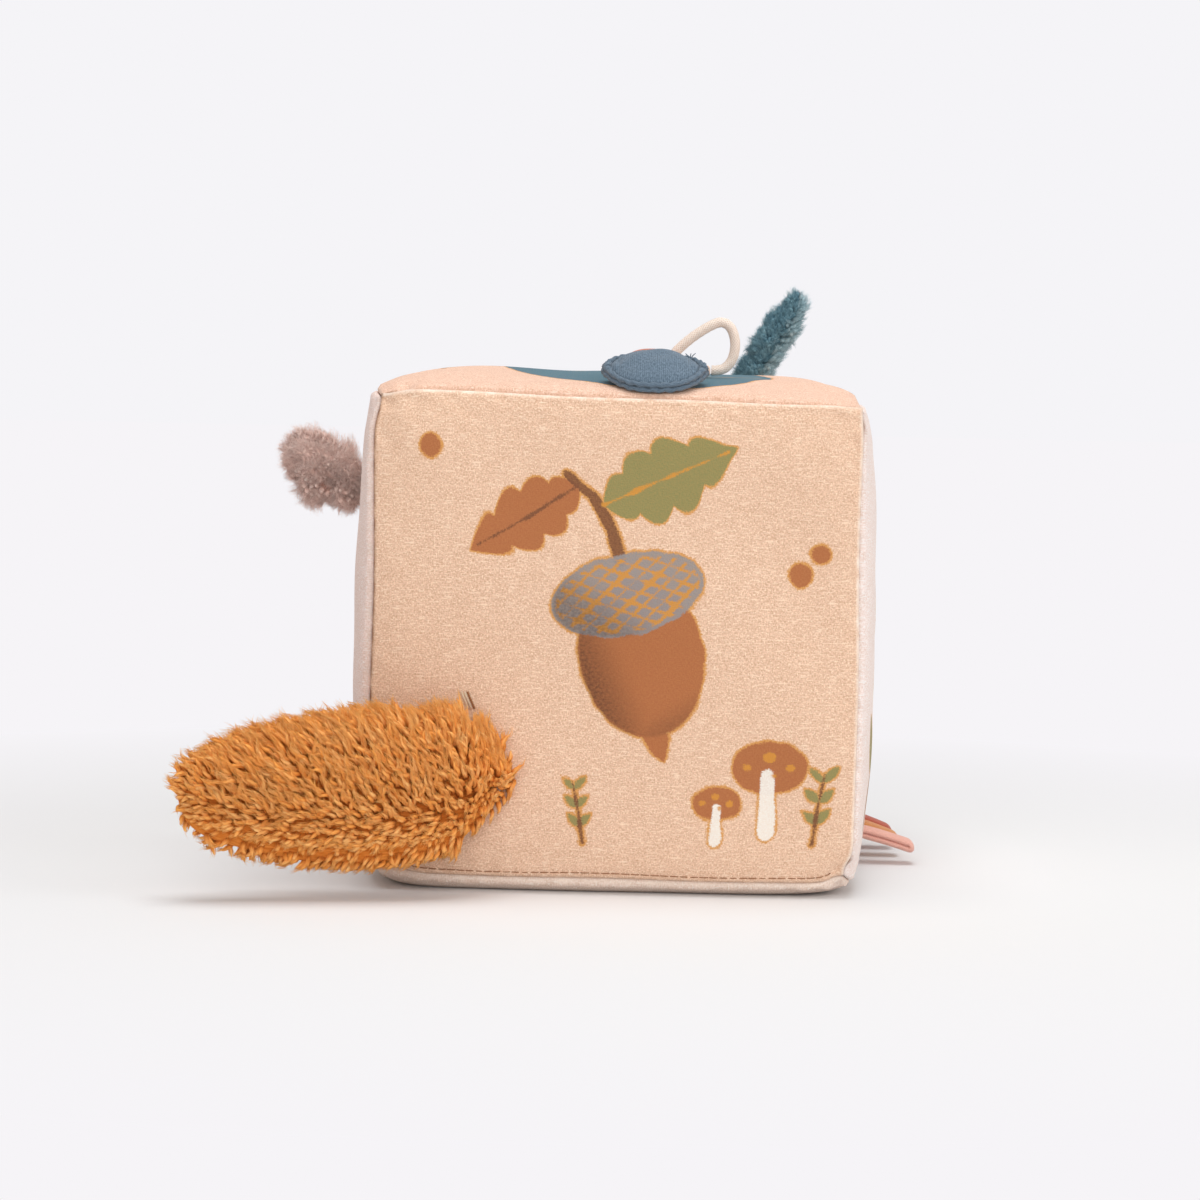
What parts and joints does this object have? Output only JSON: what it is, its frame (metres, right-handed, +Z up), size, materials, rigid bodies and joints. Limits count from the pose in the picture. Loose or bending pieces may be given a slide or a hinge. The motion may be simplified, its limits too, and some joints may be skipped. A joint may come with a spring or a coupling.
{
  "type": "soft fabric block",
  "caption": "Padded fabric activity cube with plush tails, a padded flap, a cord loop, folded ribbon loops and a rattle inside.",
  "frame": {"origin": "centre of the flat patch of the bottom face that the cube stands on", "axes": "+Z up, the front face with the brown tail looks along -Y, the ribbon loops are on the +X face"},
  "size_m": [0.2166, 0.1879, 0.1768],
  "materials": {
    "front_cotton": "warm beige slub cotton with a woodland print",
    "back_cotton": "pale printed cotton",
    "left_cotton": "pale pink printed cotton",
    "right_cotton": "very pale pink printed cotton",
    "top_cotton": "peach cotton with teal print",
    "bottom_cotton": "plain pale cotton",
    "fibre_filling": "loose white polyester fibre",
    "rattle_shell": "moulded",
    "rattle_bead": "smooth",
    "brown_plush": "caramel-brown long-pile plush",
    "grey_plush": "mauve-grey woolly plush",
    "blue_plush": "dark teal-blue plush",
    "coral_jersey": "coral jersey knit",
    "blue_jersey": "slate-blue jersey knit",
    "peach_tab": "folded peach cotton",
    "cream_cord": "round woven cotton cord",
    "pink_ribbon": "dusty pink woven ribbon",
    "ochre_ribbon": "ochre woven ribbon",
    "red_ribbon": "rust-red woven ribbon",
    "tack_thread": "brown sewing thread"
  },
  "bodies": {
    "cube": {"front_panel": "front_cotton", "back_panel": "back_cotton", "left_panel": "left_cotton", "right_panel": "right_cotton", "top_panel": "top_cotton", "bottom_panel": "bottom_cotton", "wadding_lower": "fibre_filling", "wadding_upper": "fibre_filling", "rattle_capsule_lower": "rattle_shell", "rattle_capsule_upper": "rattle_shell", "coral_pad": "coral_jersey", "loop_anchor": "peach_tab", "cream_loop": "cream_cord", "tail_tack_stitch_1": "tack_thread", "tail_tack_stitch_2": "tack_thread", "tail_tack_stitch_3": "tack_thread"},
    "rattle_beads": {"rattle_bead_1": "rattle_bead", "rattle_bead_2": "rattle_bead", "rattle_bead_3": "rattle_bead", "rattle_bead_4": "rattle_bead", "rattle_bead_5": "rattle_bead"},
    "brown_tail": {"brown_tail_front_pile": "brown_plush", "brown_tail_back_pile": "brown_plush", "brown_tail_filling": "fibre_filling"},
    "grey_tail": {"grey_tail_front_pile": "grey_plush", "grey_tail_back_pile": "grey_plush", "grey_tail_filling": "fibre_filling"},
    "blue_tail": {"blue_tail_front_pile": "blue_plush", "blue_tail_back_pile": "blue_plush", "blue_tail_filling": "fibre_filling"},
    "blue_flap": {"blue_flap_upper_cover": "blue_jersey", "blue_flap_lower_cover": "blue_jersey", "blue_flap_wadding": "fibre_filling", "blue_flap_rolled_rim": "blue_jersey"},
    "pink_ribbon": {"pink_ribbon": "pink_ribbon"},
    "ochre_ribbon": {"ochre_ribbon": "ochre_ribbon"},
    "red_ribbon": {"red_ribbon": "red_ribbon"}
  },
  "joints": [
    {"name": "rattle_beads_slide", "type": "slide", "parent": "cube", "child": "rattle_beads", "axis": [0, 0, 1], "range_m": [0, 0.017]},
    {"name": "brown_tail_swing", "type": "hinge", "parent": "cube", "child": "brown_tail", "pos_m": [-0.031, -0.07703, 0.037], "axis": [0, 0, 1], "range_deg": [-5, 95]},
    {"name": "grey_tail_swing", "type": "hinge", "parent": "cube", "child": "grey_tail", "pos_m": [-0.07902, 0.005, 0.113], "axis": [0, 0, 1], "range_deg": [-45, 45]},
    {"name": "blue_tail_swing", "type": "hinge", "parent": "cube", "child": "blue_tail", "pos_m": [0.035, 0.07424, 0.139], "axis": [-1, 0, 0], "range_deg": [-8, 100], "stiffness_Nm_per_rad": 0.002},
    {"name": "blue_flap_lift", "type": "hinge", "parent": "cube", "child": "blue_flap", "pos_m": [0.0103, -0.049, 0.15646], "axis": [-1, 0, 0], "range_deg": [0, 75]},
    {"name": "pink_ribbon_lift", "type": "hinge", "parent": "cube", "child": "pink_ribbon", "pos_m": [0.07514, 0.012, 0.01], "axis": [0, -1, 0], "range_deg": [-15, 45], "stiffness_Nm_per_rad": 0.002},
    {"name": "ochre_ribbon_lift", "type": "hinge", "parent": "cube", "child": "ochre_ribbon", "pos_m": [0.07489, 0.03, 0.01], "axis": [0, -1, 0], "range_deg": [-15, 45], "stiffness_Nm_per_rad": 0.002},
    {"name": "red_ribbon_lift", "type": "hinge", "parent": "cube", "child": "red_ribbon", "pos_m": [0.07433, 0.048, 0.01], "axis": [0, -1, 0], "range_deg": [-15, 45], "stiffness_Nm_per_rad": 0.002}
  ]
}
